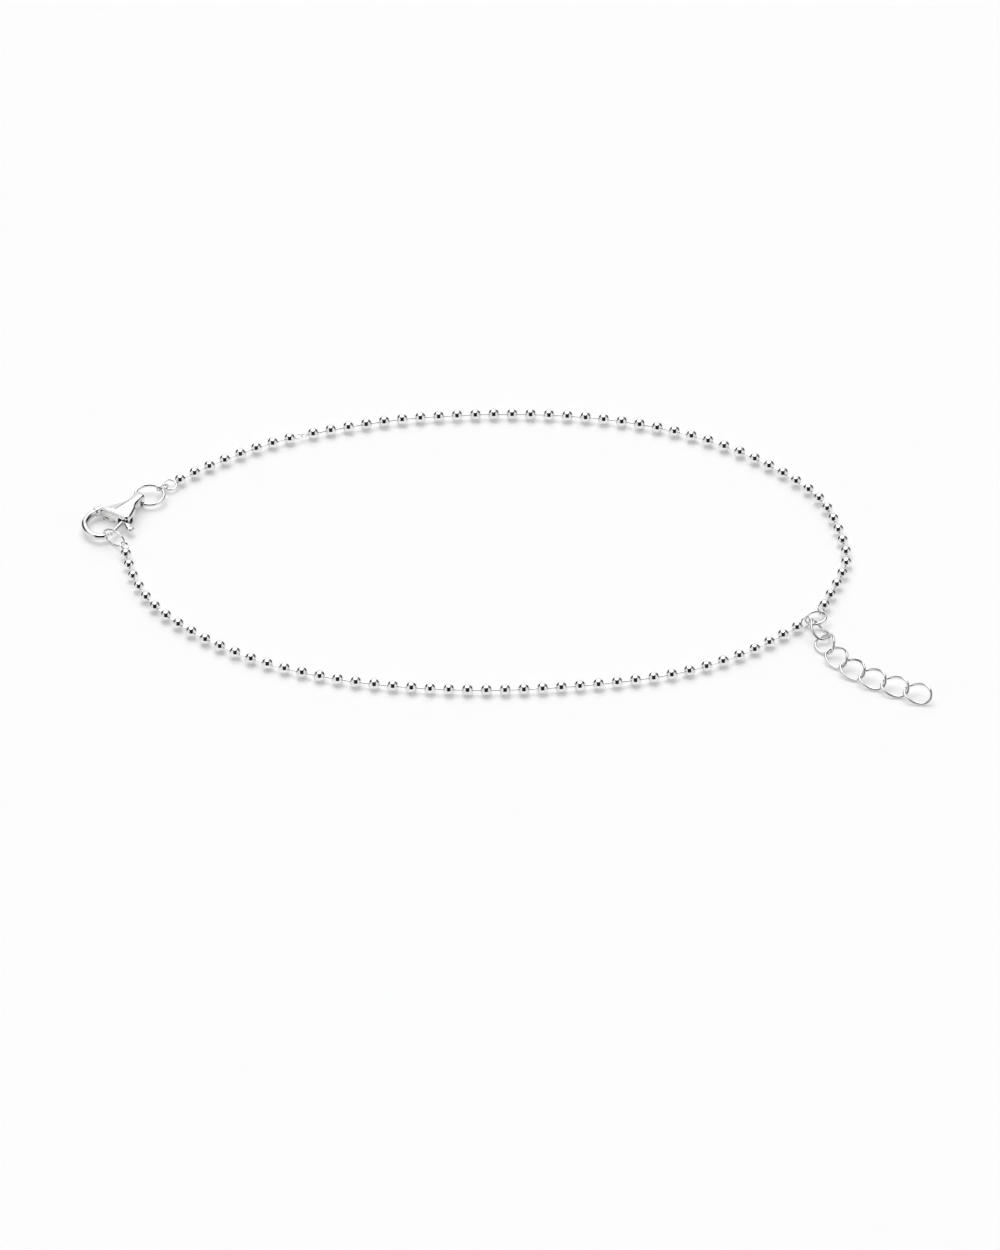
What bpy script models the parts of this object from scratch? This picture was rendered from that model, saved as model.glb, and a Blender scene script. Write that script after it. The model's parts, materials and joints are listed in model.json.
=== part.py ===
"""Ball chain bracelet with a lobster clasp and a short extension chain, lying closed on a flat surface.

Metres, +Z up. The strands lie in the XY plane with the lowest point of every bead on Z = 0.
The clasp is at -X, the extension chain trails off past +X, and the viewer stands at -Y.
The origin is the middle of the base of the whole bracelet's bounding box.
"""

import bmesh
import bpy
import numpy as np
from math import cos, pi, radians, sin

MM = 0.001

# Beads and the wire bars between them
BEAD_DIAMETER = 1.2 * MM
BAR_DIAMETER = 0.18 * MM
UPPER_BEADS_BEFORE_JOINT = 8
UPPER_BEADS_AFTER_JOINT = 41
LOWER_BEADS = 44
JOINT_PITCHES = 1.35            # length of the soldered joint, counted in bead pitches
JOINT_DIAMETER = 0.34 * MM

# Wire and sizes of the rings; a ring's radius is that of its wire's centre line
JUMP_RING_RADIUS = 1.45 * MM
JUMP_RING_WIRE = 0.33 * MM
CONNECTOR_HALF_WIDTH = 0.44 * MM
CONNECTOR_WIRE = 0.20 * MM
CONNECTOR_ROLL = -62.0
FLAT_END_RING_RADIUS = 0.66 * MM
FLAT_END_RING_WIRE = 0.24 * MM
SMALL_END_RING_RADIUS = 0.42 * MM
SMALL_END_RING_WIRE = 0.20 * MM
UPRIGHT_END_RING_RADIUS = 0.55 * MM
UPRIGHT_END_RING_WIRE = 0.20 * MM
HOOK_RING_HALF_LENGTH = 1.55 * MM
HOOK_RING_HALF_WIDTH = 0.84 * MM
HOOK_RING_WIRE = 0.20 * MM
EXTENDER_RING_RADIUS = 1.03 * MM
EXTENDER_RING_WIRE = 0.30 * MM

# Extension chain of twisted links
LINK_COUNT = 7
LINK_HALF_LENGTH = 1.42 * MM
LINK_HALF_WIDTH = 1.02 * MM
LINK_WIRE = 0.28 * MM
LINK_TWIST = 0.24 * MM          # how far the wire rises and dips out of the link's plane
LINK_ROLL = 32.0                # degrees that the far side of a link is raised

# Least gap between two loose pieces that hang in each other
LOOSE_GAP = 0.06 * MM

# Clasp, in its own frame: the eye at the origin, +X towards the hook, +Y towards the thumb nub
CLASP_EYE = (-36.35 * MM, 8.15 * MM)
CLASP_HEADING = 232.0
CLASP_THICKNESS = 1.5 * MM
CLASP_BODY_LENGTH = 3.9 * MM
CLASP_HALF_WIDTH = 1.65 * MM
CLASP_EDGE_ROUNDING = 0.16 * MM
EYE_LUG_RADIUS = 0.66 * MM
EYE_HEIGHT = 0.64 * MM
EYE_BORE_GAP = 0.17 * MM        # the bore is straight and the ring in it is curved and slanted
HOOK_REACH = 3.45 * MM
HOOK_HALF_WIDTH = 1.303 * CLASP_HALF_WIDTH
HOOK_WIRE = 0.74 * MM
HOOK_TIP_WIRE = 0.54 * MM
COLLAR_DIAMETER = 1.0 * MM
COLLAR_LENGTH = 0.9 * MM
PIVOT_AT = (0.846 * CLASP_BODY_LENGTH, 0.655 * CLASP_HALF_WIDTH)
PIVOT_DIAMETER = 0.34 * MM
LEVER_THICKNESS = 0.50 * MM
LEVER_HUB_RADIUS = 0.46 * MM
LEVER_GATE_WIDTH = 0.46 * MM
LEVER_GAP = 0.08 * MM           # gap between the lever and the metal round it
GATE_TIP_GAP = 0.12 * MM        # gap between the gate and the hook's tip
NUB_RADIUS = 0.40 * MM

RING_SEGMENTS = 20
LINK_SEGMENTS = 18
SMALL_RING_SEGMENTS = 14
WIRE_SIDES = 6
BEAD_SIDES = 10
BEAD_PROFILE_SIDES = 10

# The strands' routes, seen from above in millimetres, from the clasp end to the extension end
UPPER_ROUTE = [
    (-32.2, 11.8), (-28.0, 15.0), (-21.7, 18.6), (-12.1, 21.6), (-4.5, 22.7), (3.0, 22.9), (10.4, 22.1),
    (17.4, 20.1), (23.9, 16.7), (29.6, 11.8), (32.7, 7.3), (34.5, 0.3), (34.3, -3.4), (32.3, -9.2),
]
LOWER_ROUTE = [
    (-36.6, -4.4), (-34.6, -9.0), (-31.0, -13.2), (-26.5, -16.8), (-21.7, -19.4),
    (-15.0, -21.6), (-7.7, -22.8), (-0.2, -23.1), (7.2, -22.5), (14.6, -21.2), (20.0, -19.4),
    (25.1, -16.5), (29.5, -12.8),
]

# Where the lower strand's first bead is, in millimetres from the hook's bend
LOWER_START = (2.399, -2.725)

# The extension chain's route, in millimetres from the far end of the last link that hangs
EXTENSION_ROUTE = [(-0.285, 0.025), (1.068, -2.067), (2.868, -3.867), (4.968, -5.267), (9.168, -7.467)]

# How the rings came to rest: place in millimetres, then heading, roll and rise in degrees.
# The hook ring's place is its centre from the hook's bend, and the extender ring's is its centre.
HOOK_RING_LIES = ((1.199, -0.565, 1.02), -46.5, 89.1, 11.9)
EXTENDER_RING_LIES = ((31.39, -11.42, 0.71), -83.0, 10.2, 0.0)
# The links that hang: each one's near end from the far end of the piece that holds it
HANGING_LINKS_LIE = [
    ((-0.274, 0.304, 0.230), -71.0, -33.5, -7.3),
    ((-0.531, 0.234, -0.123), -59.3, 40.9, 14.4),
]
JUMP_RING_TURN = 38.0           # direction from the clasp's eye to the jump ring's centre
JUMP_RING_ROLL = 7.0

# Rings soldered to the strands' ends: roll and rise in degrees
UPPER_CLASP_END_LIES = (-16.0, -2.0)
UPPER_EXTENSION_END_LIES = (122.6, 9.4)
LOWER_CLASP_END_LIES = (23.4, 19.9)
LOWER_EXTENSION_END_LIES = (-106.0, 3.3)


def clear_scene():
    for old in list(bpy.data.objects):
        bpy.data.objects.remove(old, do_unlink=True)


def metal(name, colour, roughness):
    """A polished metal of one colour."""
    material = bpy.data.materials.new(name)
    material.use_nodes = True
    shader = material.node_tree.nodes["Principled BSDF"]
    shader.inputs["Base Color"].default_value = (*colour, 1.0)
    shader.inputs["Metallic"].default_value = 1.0
    shader.inputs["Roughness"].default_value = roughness
    return material


def add_mesh(name, points, faces, material=None):
    """An object of the given name with one mesh, its faces turned outwards and shaded smooth."""
    mesh = bpy.data.meshes.new(name)
    mesh.from_pydata([tuple(map(float, p)) for p in points], [], [tuple(map(int, f)) for f in faces])
    work = bmesh.new()
    work.from_mesh(mesh)
    bmesh.ops.recalc_face_normals(work, faces=work.faces)
    work.to_mesh(mesh)
    work.free()
    mesh.shade_smooth()
    mesh.set_sharp_from_angle(angle=radians(50))
    if material is not None:
        mesh.materials.append(material)
    piece = bpy.data.objects.new(name, mesh)
    bpy.context.scene.collection.objects.link(piece)
    return piece


def add_guide(name, points, faces):
    """A shape that only cuts or joins another piece and is left out of the model."""
    guide = add_mesh(name, points, faces)
    guide.hide_render = True
    guide.display_type = "WIRE"
    return guide


def combine(piece, guide, operation):
    step = piece.modifiers.new(guide.name, "BOOLEAN")
    step.operation = operation
    step.solver = "EXACT"
    step.object = guide


def unit(vector):
    vector = np.asarray(vector, float)
    return vector / np.linalg.norm(vector)


def spline(points, samples):
    """A smooth curve through the points, even in its steps along the chords between them."""
    points = np.asarray(points, float)
    padded = np.vstack([2 * points[0] - points[1], points, 2 * points[-1] - points[-2]])
    pieces = []
    for i in range(1, len(padded) - 2):
        before, start, end, after = padded[i - 1:i + 3]
        t = np.linspace(0, 1, samples, endpoint=False)[:, None]
        leave, arrive = (end - before) / 2, (after - start) / 2
        pieces.append((2 * t**3 - 3 * t**2 + 1) * start + (t**3 - 2 * t**2 + t) * leave
                      + (3 * t**2 - 2 * t**3) * end + (t**3 - t**2) * arrive)
    return np.vstack(pieces + [points[-1:]])


def along(curve, distances):
    """The points at the given distances along a curve of many short straight steps."""
    run = np.concatenate([[0], np.cumsum(np.linalg.norm(np.diff(curve, axis=0), axis=1))])
    return np.stack([np.interp(distances, run, curve[:, k]) for k in range(curve.shape[1])], axis=1)


def length_of(curve):
    return np.linalg.norm(np.diff(curve, axis=0), axis=1).sum()


def lofted(rings, closed):
    """Faces between rings of points that follow each other, capped at both ends unless closed."""
    count, sides = len(rings), len(rings[0])
    points = np.concatenate(rings)
    faces = []
    for i in range(count if closed else count - 1):
        a, b = i * sides, (i + 1) % count * sides
        faces += [(a + k, a + (k + 1) % sides, b + (k + 1) % sides, b + k) for k in range(sides)]
    if not closed:
        faces += [tuple(range(sides)), tuple(range((count - 1) * sides, count * sides))]
    return points, faces


def circle_of(centre, side, up, radius, sides):
    """A ring of points round a centre, one of them straight down."""
    angles = 2 * pi * np.arange(sides) / sides
    return centre + radius * (np.cos(angles)[:, None] * -up + np.sin(angles)[:, None] * side)


def tube(curve, radii, sides):
    """A round bar along an open curve whose radius changes from point to point, flat at both ends."""
    tangents = np.gradient(curve, axis=0)
    rings = []
    for centre, tangent, radius in zip(curve, tangents, radii):
        side = unit(np.cross(unit(tangent), (0, 0, 1)))
        rings.append(circle_of(centre, side, np.cross(side, unit(tangent)), radius, sides))
    return lofted(rings, closed=False)


# Loops of wire

def loop(centre, heading, roll, half_length, half_width, wire, twist=0.0, rise=0.0):
    """One closed loop of wire: where its centre is, how it lies, and its size.

    The heading turns its long way about Z, the rise lifts the far end of its long way,
    and the roll raises the side to the left of its heading.
    """
    h, r, q = radians(heading), radians(rise), radians(roll)
    long_way = np.array([cos(h) * cos(r), sin(h) * cos(r), sin(r)])
    level = np.array([-sin(h), cos(h), 0.0])
    normal = np.cross(long_way, level)
    cross_way = level * cos(q) + normal * sin(q)
    return dict(centre=np.asarray(centre, float), long_way=long_way, cross_way=cross_way,
                half_length=half_length, half_width=half_width, wire=wire, twist=twist)


def loop_line(ring, t):
    """The wire's centre line: an ellipse that rises and dips twice a turn by the twist."""
    normal = np.cross(ring["long_way"], ring["cross_way"])
    return (ring["centre"] + np.cos(t)[:, None] * ring["half_length"] * ring["long_way"]
            + np.sin(t)[:, None] * ring["half_width"] * ring["cross_way"]
            + np.sin(2 * t)[:, None] * ring["twist"] * normal)


def loop_shape(ring, segments):
    """The loop's points and faces, with the wire as a six-sided bar."""
    t = 2 * pi * np.arange(segments) / segments
    line = loop_line(ring, t)
    step = pi / 180
    tangents = loop_line(ring, t + step) - loop_line(ring, t - step)
    normal = np.cross(ring["long_way"], ring["cross_way"])
    rings = []
    for centre, tangent in zip(line, tangents):
        side = unit(np.cross(normal, tangent))
        up = unit(np.cross(tangent, side))
        rings.append(circle_of(centre, side, up, ring["wire"] / 2, WIRE_SIDES))
    return lofted(rings, closed=True)


# Strands of beads

def bead_centres(route, counts):
    """Centres of a strand's beads at one even pitch, with a longer step at each joint."""
    curve = spline(np.array(route) * MM, 40)
    steps = []
    for count in counts:
        steps += [1.0] * (count - 1) + [JOINT_PITCHES]
    places = np.concatenate([[0], np.cumsum(steps[:-1])])
    flat = along(curve, places * length_of(curve) / places[-1])
    return np.column_stack([flat, np.full(len(flat), BEAD_DIAMETER / 2)])


def strand_shape(centres, joint_after=None):
    """Beads as turned ten-sided profiles, joined by thin bars, and by a thicker bar at the joint."""
    facet_radius = BEAD_DIAMETER / 2 / sin(2 * pi * (BEAD_PROFILE_SIDES // 4) / BEAD_PROFILE_SIDES)
    bar = BAR_DIAMETER / 2
    angles = np.arange(1, BEAD_PROFILE_SIDES // 2) * 2 * pi / BEAD_PROFILE_SIDES
    pole = np.sqrt(facet_radius**2 - bar**2)
    tangents = np.gradient(centres, axis=0)
    rings = []
    for i, (centre, tangent) in enumerate(zip(centres, tangents)):
        ahead = unit(tangent)
        side = unit(np.cross(ahead, (0, 0, 1)))
        up = np.cross(side, ahead)
        rings.append(circle_of(centre - pole * ahead, side, up, bar, BEAD_SIDES))
        for angle in angles:
            at = centre - facet_radius * cos(angle) * ahead
            rings.append(circle_of(at, side, up, facet_radius * sin(angle), BEAD_SIDES))
        rings.append(circle_of(centre + pole * ahead, side, up, bar, BEAD_SIDES))
        if i == joint_after:
            gap = centres[i + 1] - centre
            for share in (0.42, 0.58):
                rings.append(circle_of(centre + share * gap, side, up, JOINT_DIAMETER / 2, BEAD_SIDES))
    return lofted(rings, closed=False)


def end_ring(centres, end, radius, wire, lies):
    """The ring soldered to a strand's first (end 0) or last (end -1) bead, ahead of it and up by its rise."""
    roll, rise = lies
    bead = centres[end]
    heading = heading_between(centres[1 if end == 0 else -2], bead)
    ring = loop(bead, heading, roll, radius, radius, wire, rise=rise)
    ring["centre"] = bead + (BEAD_DIAMETER / 2 + radius) * ring["long_way"]
    return ring


def build_strand(name, centres, rings, joint_after, material):
    strand = add_mesh(name, *strand_shape(centres, joint_after), material)
    for i, ring in enumerate(rings):
        guide = add_guide(f"{name}_ring_{i + 1}", *loop_shape(ring, SMALL_RING_SEGMENTS))
        combine(strand, guide, "UNION")
    return strand


# Layout of all loops

def clasp_to_layout(x, y, z):
    """A point of the clasp's own frame in the layout's frame."""
    h = radians(CLASP_HEADING)
    return np.array([CLASP_EYE[0] + x * cos(h) - y * sin(h), CLASP_EYE[1] + x * sin(h) + y * cos(h), z])


def heading_between(a, b):
    return np.degrees(np.arctan2(b[1] - a[1], b[0] - a[0]))


def resting(start, lies, half_length, half_width, wire, twist=0.0):
    """A loop that lies as its line in the table of resting places says, its place taken from the start."""
    at, heading, roll, rise = lies
    return loop(start + np.array(at) * MM, heading, roll, half_length, half_width, wire, twist, rise)


def point_towards(ring, target):
    """The point of a round ring's centre line that is nearest to a target."""
    way = np.asarray(target) - ring["centre"]
    angle = np.arctan2(way @ ring["cross_way"], way @ ring["long_way"])
    return loop_line(ring, np.array([angle]))[0]


def jump_ring():
    """The clasp's ring, turned and tilted about the eye so that its wire runs through the eye."""
    ring = loop((0, 0, 0), 0.0, JUMP_RING_ROLL, JUMP_RING_RADIUS, JUMP_RING_RADIUS, JUMP_RING_WIRE)
    turn = radians(JUMP_RING_TURN)
    rim = point_towards(ring, (-cos(turn), -sin(turn), 0))
    ring["centre"] = clasp_to_layout(0, 0, EYE_HEIGHT) - rim
    return ring


def connector(first, second):
    """The small link that holds two rings together, spanning from wire to wire."""
    start = point_towards(first, second["centre"])
    end = point_towards(second, start)
    span = end - start
    rise = np.degrees(np.arcsin(unit(span)[2]))
    half = (np.linalg.norm(span) + max(first["wire"], second["wire"]) + CONNECTOR_WIRE) / 2 + 2 * LOOSE_GAP
    return loop((start + end) / 2, heading_between(start, end), CONNECTOR_ROLL, half, CONNECTOR_HALF_WIDTH,
                CONNECTOR_WIRE, rise=rise)


def far_end(ring):
    return ring["centre"] + ring["half_length"] * ring["long_way"]


def extension_links(extender):
    """The first two links hang from the extender ring, the others lie on the surface, all rolled one way."""
    links = {}
    end = far_end(extender)
    for i, lies in enumerate(HANGING_LINKS_LIE):
        link = resting(end, lies, LINK_HALF_LENGTH, LINK_HALF_WIDTH, LINK_WIRE, LINK_TWIST)
        link["centre"] = far_end(link)
        end = far_end(link)
        links[f"extension_link_{i + 1}"] = link
    route = spline(end[:2] + np.array(EXTENSION_ROUTE) * MM, 40)
    pitch = 2 * LINK_HALF_LENGTH - LINK_WIRE - LOOSE_GAP
    turn = 2 * pi * np.arange(72) / 72
    for i in range(LINK_COUNT - len(HANGING_LINKS_LIE)):
        before, centre, after = along(route, pitch * np.array([i, i + 0.5, i + 1]))
        link = loop((*centre, 0), heading_between(before, after), LINK_ROLL, LINK_HALF_LENGTH,
                    LINK_HALF_WIDTH, LINK_WIRE, LINK_TWIST)
        link["centre"][2] = LINK_WIRE / 2 + LOOSE_GAP / 2 - loop_line(link, turn)[:, 2].min()
        links[f"extension_link_{len(HANGING_LINKS_LIE) + i + 1}"] = link
    return links


def layout():
    """Every loose loop by its node's name, the strands' bead centres, and the rings soldered to them."""
    bend = hook_bend()
    start = bend[:2] / MM + LOWER_START
    upper = bead_centres(UPPER_ROUTE, [UPPER_BEADS_BEFORE_JOINT, UPPER_BEADS_AFTER_JOINT])
    lower = bead_centres([tuple(start)] + LOWER_ROUTE, [LOWER_BEADS])
    upper_rings = [
        end_ring(upper, 0, FLAT_END_RING_RADIUS, FLAT_END_RING_WIRE, UPPER_CLASP_END_LIES),
        end_ring(upper, -1, UPRIGHT_END_RING_RADIUS, UPRIGHT_END_RING_WIRE, UPPER_EXTENSION_END_LIES),
    ]
    lower_rings = [
        end_ring(lower, 0, SMALL_END_RING_RADIUS, SMALL_END_RING_WIRE, LOWER_CLASP_END_LIES),
        end_ring(lower, -1, UPRIGHT_END_RING_RADIUS, UPRIGHT_END_RING_WIRE, LOWER_EXTENSION_END_LIES),
    ]
    loops = {"clasp_jump_ring": jump_ring()}
    loops["connector_link"] = connector(loops["clasp_jump_ring"], upper_rings[0])
    loops["hook_ring"] = resting(bend, HOOK_RING_LIES, HOOK_RING_HALF_LENGTH, HOOK_RING_HALF_WIDTH,
                                 HOOK_RING_WIRE)
    loops["extender_ring"] = resting(np.zeros(3), EXTENDER_RING_LIES, EXTENDER_RING_RADIUS,
                                     EXTENDER_RING_RADIUS, EXTENDER_RING_WIRE)
    loops.update(extension_links(loops["extender_ring"]))
    return dict(upper=upper, lower=lower, upper_rings=upper_rings, lower_rings=lower_rings, loops=loops)


# Clasp

# Outline of the clasp's body past the eye lug: shares of the body's length and of its half width
BODY_OUTLINE = [
    (0.27, -0.27), (0.48, -0.38), (0.70, -0.61), (0.92, -0.90), (1.00, -0.97), (1.025, -0.80), (1.00, -0.12),
    (0.99, 0.55), (0.965, 0.90), (0.88, 1.03), (0.74, 0.97), (0.48, 0.73), (0.26, 0.46),
]

# Centre line of the hook: shares of the hook's reach past the mouth and of its half width
HOOK_LINE = [
    (-0.12, -0.86), (0.145, -0.98), (0.406, -1.0), (0.725, -0.79), (0.942, -0.35), (1.0, 0.14), (0.884, 0.49),
    (0.68, 0.65),
]
HOOK_BEND = 6                   # the point of the hook's centre line that the hook ring hangs round


def hook_bend():
    """The layout's point on the surface under the hook's bend."""
    along_share, across_share = HOOK_LINE[HOOK_BEND]
    return clasp_to_layout(CLASP_BODY_LENGTH + along_share * HOOK_REACH, across_share * HOOK_HALF_WIDTH, 0)


def body_outline():
    """The body seen from above: a round lug at the eye that widens to the mouth."""
    angles = radians(250) - np.arange(0, 6) * radians(140) / 5
    lug = np.column_stack([np.cos(angles), np.sin(angles)]) * EYE_LUG_RADIUS
    flanks = np.array(BODY_OUTLINE) * (CLASP_BODY_LENGTH, CLASP_HALF_WIDTH)
    return np.vstack([lug[::-1], flanks])[::-1]


def inset(outline, distance):
    """The outline moved inwards by the distance, for an outline that runs anticlockwise."""
    before, after = np.roll(outline, 1, axis=0), np.roll(outline, -1, axis=0)
    chord = after - before
    chord /= np.linalg.norm(chord, axis=1)[:, None]
    area = np.sum(outline[:, 0] * after[:, 1] - after[:, 0] * outline[:, 1])
    inwards = np.column_stack([-chord[:, 1], chord[:, 0]]) * np.sign(area)
    return outline + distance * inwards


def plate_shape(outline, low, high, rounding):
    """A plate between two heights whose rims are eased by the rounding."""
    rings = []
    for share, z in ((1.0, low), (0.3, low + 0.3 * rounding), (0.0, low + rounding),
                     (0.0, high - rounding), (0.3, high - 0.3 * rounding), (1.0, high)):
        ring = inset(outline, share * rounding) if share else outline
        rings.append(np.column_stack([ring, np.full(len(ring), z)]))
    return lofted(rings, closed=False)


def rod_shape(centre, direction, radius, half_length, sides):
    ends = [centre - half_length * direction, centre + half_length * direction]
    side = unit(np.cross(direction, (0.3, 0.2, 1.0)))
    up = np.cross(side, direction)
    return lofted([circle_of(end, side, up, radius, sides) for end in ends], closed=False)


def hook_shape():
    line = np.array(HOOK_LINE) * (HOOK_REACH, HOOK_HALF_WIDTH) + (CLASP_BODY_LENGTH, 0)
    curve = along(spline(line, 30), np.linspace(0, 1, 17) * length_of(spline(line, 30)))
    share = np.linspace(0, 1, len(curve))
    radii = (HOOK_WIRE + (HOOK_TIP_WIRE - HOOK_WIRE) * np.clip(share * 2 - 1, 0, 1)) / 2
    return tube(np.column_stack([curve, np.full(len(curve), CLASP_THICKNESS / 2)]), radii, 10)


def hook_tip():
    """Where the hook's tip ends, in the clasp's own frame."""
    along_share, across_share = HOOK_LINE[-1]
    return np.array([CLASP_BODY_LENGTH + along_share * HOOK_REACH, across_share * HOOK_HALF_WIDTH])


def build_clasp_body(material, holder):
    middle = CLASP_THICKNESS / 2
    body = add_mesh("clasp_body", *plate_shape(body_outline(), 0.0, CLASP_THICKNESS, CLASP_EDGE_ROUNDING),
                    material)

    across_ring = radians(JUMP_RING_TURN + 90 - CLASP_HEADING)
    eye_axis = np.array([cos(across_ring), sin(across_ring), 0.0])
    bore = JUMP_RING_WIRE / 2 + EYE_BORE_GAP
    eye_at = np.array([0, 0, EYE_HEIGHT])
    eye = add_guide("eye_cut", *rod_shape(eye_at, eye_axis, bore, 2 * EYE_LUG_RADIUS, 12))
    combine(body, eye, "DIFFERENCE")

    half_slot = LEVER_THICKNESS / 2 + LEVER_GAP
    pivot = np.array(PIVOT_AT)
    slot_reach = LEVER_HUB_RADIUS + LEVER_GAP
    far = CLASP_BODY_LENGTH + HOOK_REACH / 2
    corner = np.array([
        pivot + (-slot_reach, -slot_reach), (far, pivot[1] - slot_reach), (far, 2 * CLASP_HALF_WIDTH),
        (pivot[0] - slot_reach, 2 * CLASP_HALF_WIDTH),
    ])
    slot = [np.column_stack([corner, np.full(4, middle + s * half_slot)]) for s in (-1, 1)]
    combine(body, add_guide("lever_slot_cut", *lofted(slot, closed=False)), "DIFFERENCE")

    combine(body, add_guide("hook", *hook_shape()), "UNION")

    line = np.array(HOOK_LINE[:2]) * (HOOK_REACH, HOOK_HALF_WIDTH) + (CLASP_BODY_LENGTH, 0)
    collar_way = unit(np.append(line[1] - line[0], 0))
    collar_at = np.append(line[0] + (line[1] - line[0]) * 0.4, middle)
    collar = rod_shape(collar_at, collar_way, COLLAR_DIAMETER / 2, COLLAR_LENGTH / 2, 12)
    combine(body, add_guide("collar", *collar), "UNION")

    pin = rod_shape(np.array([*PIVOT_AT, middle]), np.array([0, 0, 1.0]), PIVOT_DIAMETER / 2,
                    middle - CLASP_EDGE_ROUNDING, 12)
    combine(body, add_guide("pivot_pin", *pin), "UNION")
    body.parent = holder
    return body


def lever_outline():
    """The lever seen from above, about its pivot: hub, thumb nub and the gate up to the hook's tip."""
    pivot = np.array(PIVOT_AT)
    tip = hook_tip() - pivot
    gate_end = tip - (GATE_TIP_GAP, 0)
    half = LEVER_GATE_WIDTH / 2
    hub = LEVER_HUB_RADIUS
    back = radians(135) + np.arange(0, 6) * radians(150) / 5
    rear = np.column_stack([np.cos(back), np.sin(back)]) * hub
    gate = np.array([
        (0.6 * hub, -half), (gate_end[0] - 0.5 * half, gate_end[1] - half), (gate_end[0], gate_end[1] - 0.6 * half),
        (gate_end[0], gate_end[1] + 0.6 * half), (gate_end[0] - 0.5 * half, gate_end[1] + half),
        (hub * 3.0, tip[1] + half),
    ])
    nub_at = np.array([2.1 * hub, 3.0 * hub])
    swing = radians(-35) + np.arange(0, 6) * radians(170) / 5
    nub = nub_at + np.column_stack([np.cos(swing), np.sin(swing)]) * NUB_RADIUS
    return np.vstack([rear, gate, nub])


def build_lever(material, holder):
    half = LEVER_THICKNESS / 2
    lever = add_mesh("clasp_lever", *plate_shape(lever_outline(), -half, half, 0.3 * half), material)
    bore = PIVOT_DIAMETER / 2 + LEVER_GAP
    hole = rod_shape(np.zeros(3), np.array([0, 0, 1.0]), bore, LEVER_THICKNESS, 12)
    guide = add_guide("lever_bore_cut", *hole)
    combine(lever, guide, "DIFFERENCE")
    for piece in (lever, guide):
        piece.parent = holder
        piece.location = (*PIVOT_AT, CLASP_THICKNESS / 2)
    return lever


def add_empty(name, location, heading, parent):
    empty = bpy.data.objects.new(name, None)
    bpy.context.scene.collection.objects.link(empty)
    empty.location = location
    empty.rotation_euler = (0, 0, radians(heading))
    empty.parent = parent
    return empty


def centre_of_base():
    """The middle of the base of the finished pieces' bounding box."""
    depsgraph = bpy.context.evaluated_depsgraph_get()
    points = []
    for piece in bpy.context.scene.objects:
        if piece.type == "MESH" and not piece.hide_render:
            shown = piece.evaluated_get(depsgraph)
            points += [shown.matrix_world @ vertex.co for vertex in shown.data.vertices]
    points = np.array(points)
    low, high = points.min(axis=0), points.max(axis=0)
    return (low[0] + high[0]) / 2, (low[1] + high[1]) / 2, low[2]


def build():
    clear_scene()
    polished = metal("polished_silver", (0.93, 0.92, 0.90), 0.06)
    bead_metal = metal("bead_silver", (0.95, 0.94, 0.93), 0.05)
    ring_metal = metal("ring_silver", (0.92, 0.91, 0.89), 0.08)
    plan = layout()
    bracelet = add_empty("bracelet", (0, 0, 0), 0, None)
    clasp = add_empty("clasp", (*CLASP_EYE, 0), CLASP_HEADING, bracelet)
    build_clasp_body(polished, clasp)
    build_lever(polished, clasp)
    build_strand("upper_strand", plan["upper"], plan["upper_rings"], UPPER_BEADS_BEFORE_JOINT - 1, bead_metal)
    build_strand("lower_strand", plan["lower"], plan["lower_rings"], None, bead_metal)
    for name, ring in plan["loops"].items():
        segments = LINK_SEGMENTS if ring["twist"] else RING_SEGMENTS
        add_mesh(name, *loop_shape(ring, segments), ring_metal)
    for piece in bpy.context.scene.objects:
        if piece.parent is None and piece is not bracelet:
            piece.parent = bracelet
    for piece in bpy.context.scene.objects:
        if piece.name in ("eye_cut", "lever_slot_cut", "hook", "collar", "pivot_pin"):
            piece.parent = clasp
    bpy.context.view_layer.update()
    middle = centre_of_base()
    bracelet.location = [-value for value in middle]
    bpy.context.view_layer.update()


build()
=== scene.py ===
"""Looks of the fine silver ball chain bracelet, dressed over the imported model.

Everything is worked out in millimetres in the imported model's own frame and turned into metres as it
becomes a mesh. +Z is up, the clasp is at -X, the extension chain at +X, and the viewer stands at -Y.
"""

import json
from math import atan2, cos, pi, radians, sin

import bmesh
import bpy
import numpy as np
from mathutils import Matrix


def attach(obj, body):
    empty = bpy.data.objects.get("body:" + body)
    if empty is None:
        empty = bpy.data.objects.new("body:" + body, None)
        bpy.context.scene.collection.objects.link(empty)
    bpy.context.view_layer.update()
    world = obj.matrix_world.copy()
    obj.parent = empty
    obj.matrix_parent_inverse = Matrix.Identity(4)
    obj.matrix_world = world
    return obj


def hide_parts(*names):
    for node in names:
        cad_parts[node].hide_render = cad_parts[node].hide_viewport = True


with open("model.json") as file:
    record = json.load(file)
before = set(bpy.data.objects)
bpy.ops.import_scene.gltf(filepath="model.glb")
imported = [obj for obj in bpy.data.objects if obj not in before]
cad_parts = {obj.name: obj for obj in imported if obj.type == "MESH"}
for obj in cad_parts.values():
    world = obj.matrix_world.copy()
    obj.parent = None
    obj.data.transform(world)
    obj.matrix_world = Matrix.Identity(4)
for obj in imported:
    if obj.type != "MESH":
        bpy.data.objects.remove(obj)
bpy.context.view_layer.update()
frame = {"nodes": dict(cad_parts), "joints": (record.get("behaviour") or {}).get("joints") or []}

MM = 0.001

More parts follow.
